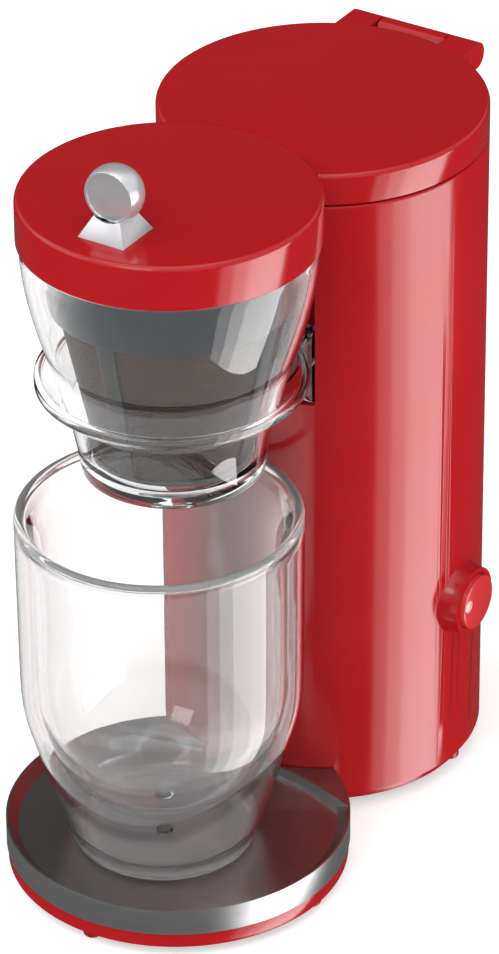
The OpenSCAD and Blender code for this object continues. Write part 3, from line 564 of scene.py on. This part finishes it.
# ---- Dripper cup ----
# The dripper is a cone of thick clear plastic, moulded in one, with a small hole in its floor.
# A short straight neck at its top takes the lid.
levels = [147.7 + (226.5 - 147.7) * i / 24 for i in range(25)]
outside = [(cup_r(h), h) for h in levels]
inside = [(cup_r(h) - 2.5, h) for h in reversed(levels) if h > 152]
cup_outline = ([(4, 147.7)] + outside + [(43.8, 226.5), (43.8, 232), (41.3, 232), (41.3, 226.5)]
               + inside + [(24, 150.4), (21.5, 150.2), (4, 150.2), (4, 147.7)])
cup = turned("dripper_cup_piece", cup_outline, dripper, steps=144)
ease(cup, 0.6, 3, 40)
settle(cup, "dripper", "clear_plastic", clear_san, "dripper_cup")

# ---- Filter ----
# The reusable filter hangs in the cup by its flange. A polished dark band at its top and four
# black ribs carry a cone of fine woven steel mesh on a round floor.
dark_mirror_pvd = finish_metal("dark_mirror_pvd", "#2a2c2f", "#303236", 0.07, (1, 1, 1), 6, 0.002)
band = turned("filter_band", [(39.6, 233.3), (43.4, 233.3), (43.4, 232.3), (40.8, 232.3), (37.5, 207), (35, 207),
                              (35, 208.2), (36.3, 208.2), (39.6, 233.3)], dripper, steps=144)
ease(band, 0.3, 2, 40)
settle(band, "filter", "dark_band", dark_mirror_pvd)

black_rib_pp = moulded_matt("black_rib_pp", "#101012", "#17171a", 0.35, 0.8, 0.03)
ribs = turned("filter_ribs", [(24, 156), (25, 156), (36, 207.1), (35, 207.1), (24, 156)], dripper, steps=144)
cross = block("cross", (-60, -3, 100), (60, 3, 300), dripper)
cut(cross, block("cross_bar", (-3, -60, 100), (3, 60, 300), dripper), "UNION")
cut(ribs, cross, "INTERSECT")
floor_plate = turned("floor_plate", [(0, 154.2), (25, 154.2), (25, 156), (0, 156)], dripper, steps=96)
let_go()
ribs.select_set(True)
floor_plate.select_set(True)
bpy.context.view_layer.objects.active = ribs
bpy.ops.object.join()
ease(ribs, 0.25, 2, 40)
settle(ribs, "filter", "dark_band", black_rib_pp, "filter_frame")

# Woven stainless mesh: wires 0.15 mm apart look like brown cloth; drawn here 0.9 mm apart so
# that they show at all
woven_mesh, tree, out = new_material("woven_steel_mesh")
place = add(tree, "ShaderNodeTexCoord")
centre = add(tree, "ShaderNodeMapping", {"Location": tuple(-dripper)}, {"Vector": place.outputs["Object"]})
axes = add(tree, "ShaderNodeSeparateXYZ", {}, {"Vector": centre.outputs["Vector"]})
angle = add(tree, "ShaderNodeMath", {"operation": "ARCTAN2"}, {0: axes.outputs["Y"], 1: axes.outputs["X"]})
upright = add(tree, "ShaderNodeMath", {"operation": "MULTIPLY", 1: 210.0}, {0: angle.outputs["Value"]})
upright_wave = add(tree, "ShaderNodeMath", {"operation": "SINE"}, {0: upright.outputs["Value"]})
level = add(tree, "ShaderNodeMath", {"operation": "MULTIPLY", 1: math.tau / (0.9 * MM)}, {0: axes.outputs["Z"]})
level_wave = add(tree, "ShaderNodeMath", {"operation": "SINE"}, {0: level.outputs["Value"]})
weave = add(tree, "ShaderNodeMath", {"operation": "MULTIPLY"},
            {0: upright_wave.outputs["Value"], 1: level_wave.outputs["Value"]})
stain = add(tree, "ShaderNodeTexNoise", {"Scale": 1 / (18 * MM), "Detail": 3.0}, {"Vector": place.outputs["Object"]})
brown = add(tree, "ShaderNodeValToRGB", {}, {"Fac": stain.outputs["Fac"]})
brown.color_ramp.elements[0].position = 0.3
brown.color_ramp.elements[0].color = linear("#38281e")
brown.color_ramp.elements[1].position = 0.7
brown.color_ramp.elements[1].color = linear("#574234")
skin = add(tree, "ShaderNodeBump", {"Strength": 0.5, "Distance": 0.0002}, {"Height": weave.outputs["Value"]})
shader = add(tree, "ShaderNodeBsdfPrincipled", {"Metallic": 0.35, "Roughness": 0.6},
             {"Base Color": brown.outputs["Color"], "Normal": skin.outputs["Normal"]})
tree.links.new(shader.outputs["BSDF"], out.inputs["Surface"])
mesh_cone = turned("mesh_cone", [(23.5, 156.02), (23.97, 156.02), (34.97, 206.98), (34.5, 206.98), (23.5, 156.02)],
                   dripper, steps=144)
settle(mesh_cone, "filter", "mesh_steel", woven_mesh, "filter_mesh")

# ---- Dripper lid and shower plate ----
# The dripper's red lid has a deep skirt, and a spout behind it that meets the outlet. Under it
# a black plate with small holes spreads the hot water.
dripper_lid = turned("dripper_lid_piece", [(0, 239.2), (44.4, 239.2), (44.4, 227), (46.4, 227)]
                     + rounded_edge(46.4, 241.4, 2) + [(0, 241.4)], dripper, steps=144)
cut(dripper_lid, block("spout", (-8.5, 44.8, 229.6), (8.5, 51.7, 236), dripper), "UNION")
cut(dripper_lid, block("channel", (-4, 32.5, 234.2), (4, 51, 235.4), dripper))
port = turned("port", [(0, 228.6), (2, 228.6), (2, 234.2), (0, 234.2)], dripper + Vector((0, 50, 0)) * MM, steps=24)
cut(dripper_lid, port)
ease(dripper_lid, 0.8, 4, 40)
settle(dripper_lid, "dripper_lid", "red_lid", red_lid_abs, "dripper_lid")
dress("shower_plate", black_grained_abs)

# ---- Knob ----
# A satin chrome ball with one flat face stands on a small four-sided foot. Both are zinc
# castings, drawn together by a screw from under the lid.
satin_chrome = finish_metal("satin_chrome", "#d4d4d7", "#dadadd", 0.32, (1, 1, 1), 4.0, 0.0002, 0.6)
knob = dripper + Vector((0, -29, 0)) * MM
foot = block("knob_foot", (-8, -8, 241.4), (8, 8, 248.4), knob)
take(foot)
bpy.ops.object.mode_set(mode="EDIT")
foot_mesh = bmesh.from_edit_mesh(foot.data)
for face in foot_mesh.faces:
    face.select_set(face.normal.z > 0.9)
bmesh.update_edit_mesh(foot.data)
bpy.ops.transform.resize(value=(8.5 / 16, 8.5 / 16, 1))
bpy.ops.object.mode_set(mode="OBJECT")
ball_centre = knob + Vector((0, 0, 254.4)) * MM
let_go()
bpy.ops.mesh.primitive_uv_sphere_add(segments=96, ring_count=64, radius=9.05 * MM, location=ball_centre)
seat = bpy.context.object
bpy.ops.object.transform_apply(location=True, rotation=True, scale=True)
cut(foot, seat)
ease(foot, 0.35, 3, 30)
settle(foot, "dripper_lid", "knob_chrome", satin_chrome, "knob_base")
let_go()
bpy.ops.mesh.primitive_uv_sphere_add(segments=96, ring_count=64, radius=9 * MM, location=ball_centre)
ball = bpy.context.object
ball.name = ball.data.name = "knob_ball_piece"
bpy.ops.object.transform_apply(location=True, rotation=True, scale=True)
bpy.ops.object.mode_set(mode="EDIT")
bpy.ops.mesh.select_all(action="SELECT")
bpy.ops.mesh.bisect(plane_co=ball_centre - Vector((0, 3.6, 0)) * MM, plane_no=(0, -1, 0), use_fill=True, clear_outer=True)
ball_mesh = bmesh.from_edit_mesh(ball.data)
for face in ball_mesh.faces:
    face.select_set(len(face.verts) > 20)
bmesh.update_edit_mesh(ball.data)
bpy.ops.mesh.inset(thickness=0.7 * MM)
bpy.ops.mesh.inset(thickness=0.25 * MM, depth=-0.45 * MM)
bpy.ops.object.mode_set(mode="OBJECT")
ease(ball, 0.5, 3, 30)
settle(ball, "dripper_lid", "knob_chrome", satin_chrome, "knob_ball")
dress("knob_screw", turned_steel)

# ---- Drip tray ----
# The tray is pressed from one brushed steel sheet: a band, a rim and a shallow dish. Its back is
# cut round to fit the column, and a curved lip closes the dish in front of that.
brushed_floor = finish_metal("brushed_steel_floor", "#a19c9a", "#aba6a4", 0.3, (0.02, 1, 1), 0.3, 0.003)
brushed_band = finish_metal("brushed_steel_band", "#a8a8a9", "#b6b6b7", 0.36, (0.02, 0.02, 1), 0.3, 0.004, 0.85)
tray_centre = column + Vector((0, -88.5, 0)) * MM
tray = turned("drip_tray_piece", [(0, 8.6), (55, 8.6), (55, 17.75), (0, 17.75)], tray_centre, steps=160)
cut(tray, turned("column_space", [(0, 0), (52.5, 0), (52.5, 40), (0, 40)], column, steps=144))
take(tray)
bpy.ops.object.mode_set(mode="EDIT")
tray_mesh = bmesh.from_edit_mesh(tray.data)
for edge in tray_mesh.edges:
    a, b = (v.co - column for v in edge.verts)
    upright_edge = abs(a.x - b.x) < 0.01 * MM and abs(a.y - b.y) < 0.01 * MM
    edge.select_set(upright_edge and abs(abs(a.x) - 30.5) < 1 * MM and a.y > -46 * MM and edge.calc_face_angle(0) > 0.7)
tray_mesh.select_flush_mode()
bmesh.update_edit_mesh(tray.data)
bpy.ops.mesh.bevel(offset=5 * MM, segments=8, profile=0.5)
bpy.ops.object.mode_set(mode="OBJECT")
dish = turned("dish", [(0, 14.5), (51, 14.5), (54.3, 17.75), (54.4, 18.5), (0, 18.5)], tray_centre, steps=160)
lip = turned("lip", [(0, 10), (130, 10), (130, 14.5), (130, 30), (0, 30)], column + Vector((0, -180.5, 0)) * MM, steps=360)
cut(dish, lip, "INTERSECT")
cut(tray, dish)
under = turned("under", [(0, 5), (54.2, 5), (54.2, 13.7), (0, 13.7)], tray_centre, steps=160)
cut(under, turned("under_back", [(0, 0), (53.3, 0), (53.3, 40), (0, 40)], column, steps=144))
cut(tray, under)
ease(tray, 0.35, 3, 40)
settle(tray, "drip_tray", "tray_steel", brushed_band, "drip_tray")
tray.data.materials.append(brushed_floor)
for face in tray.data.polygons:
    if abs(face.normal.z) > 0.5:
        face.material_index = 1

# ---- Double-walled glass ----
# Two blown borosilicate walls with air between them, fused at the rim. The outer wall is a
# cone that turns upright, and the inner one a round bowl that hangs clear of it.
glass_low, glass_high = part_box("glass_outer")
glass_centre = Vector(((glass_low.x + glass_high.x) / 2, (glass_low.y + glass_high.y) / 2, 0))


def wall_r(height):
    """Outer radius of the outer wall: a cone that rounds into an almost upright side."""
    cone, side, blend = 28.8 + 0.3 * (height - 14.7), 44.8 - 0.008 * (135.4 - height), 0.9
    return min(cone, side) - blend * math.log(1 + math.exp(-abs(cone - side) / blend))


def bowl_r(height):
    """Outer radius of the inner wall: a round bowl that flares towards the rim."""
    u, v = max(0, (78.9 - height) / 50), max(0, (height - 115.4) / 20)
    return 39.2 * max(0, 1 - u ** 2.3) ** (1 / 2.3) + 4.2 * v ** 3


side_levels = [14.7 + 4 + (132.2 - 18.7) * i / 30 for i in range(31)]
bowl_levels = [28.9 + 50 * (1 - math.cos(math.radians(a))) for a in range(6, 90, 6)]
bowl_levels += [78.9 + (132.2 - 78.9) * i / 12 for i in range(13)]
foot_arc = [(25.2 + 4 * math.sin(math.radians(a)), 18.7 - 4 * math.cos(math.radians(a))) for a in range(0, 80, 10)]
glass_skin = [(0, 14.7), (12, 14.7)] + foot_arc + [(wall_r(h), h) for h in side_levels[1:]]
glass_skin += [(44.8, 133.6), (44.6, 134.5), (44.1, 135.15), (43.3, 135.4), (42.5, 135.15), (42.0, 134.5), (41.7, 133.6)]
glass_skin += [(bowl_r(h) - 1.6, h + (1.2 if h < 60 else 0)) for h in reversed(bowl_levels)] + [(0, 30.5)]
glass_air = [(0, 16.7), (20, 16.7), (24, 17.2)] + [(wall_r(h) - 1.6, h) for h in side_levels[1:]]
glass_air += [(wall_r(132.2) - 1.9, 132.7), (bowl_r(132.2) + 0.4, 132.7)]
glass_air += [(bowl_r(h), h) for h in reversed(bowl_levels)] + [(2.2, 28.9), (1.4, 28.1), (0, 27.6)]
borosilicate = clear_plastic("borosilicate", "#fdfdfd", 1.47, 0.0, 22, 0.01, 0.25)
# Painted highlight: the rim and the foot let less light through and turn milky white, standing in for the light the
# thick glass gathers there
tree = borosilicate.node_tree
place = add(tree, "ShaderNodeTexCoord")
height = add(tree, "ShaderNodeSeparateXYZ", {}, {"Vector": place.outputs["Object"]})
rim_painted_highlight = add(tree, "ShaderNodeMapRange", {"From Min": 0.1325, "From Max": 0.1342, "To Min": 1.0, "To Max": 0.75},
                {"Value": height.outputs["Z"]})
foot_painted_highlight = add(tree, "ShaderNodeMapRange", {"From Min": 0.0152, "From Max": 0.022, "To Min": 0.62, "To Max": 1.0},
                 {"Value": height.outputs["Z"]})
clearness_less_painted_highlight = add(tree, "ShaderNodeMath", {"operation": "MULTIPLY"},
                {0: rim_painted_highlight.outputs["Result"], 1: foot_painted_highlight.outputs["Result"]})
glass_shader = next(node for node in tree.nodes if node.type == "BSDF_PRINCIPLED")
tree.links.new(clearness_less_painted_highlight.outputs["Value"], glass_shader.inputs["Transmission Weight"])
glass = turned("double_glass", glass_skin, glass_centre, steps=144)
air = turned("air_gap", glass_air, glass_centre, steps=144, inside=True)
let_go()
glass.select_set(True)
air.select_set(True)
bpy.context.view_layer.objects.active = glass
bpy.ops.object.join()
settle(glass, "glass", "glass", borosilicate, "glass_outer", "glass_inner", angle=60)
plug = turned("seal_plug", [(0, 15.1), (1.95, 15.1), (1.95, 16.7), (2.6, 16.7), (2.4, 17.1), (0, 17.3)],
              glass_centre, steps=48)
settle(plug, "glass", "silicone", clear_san, "glass_plug")
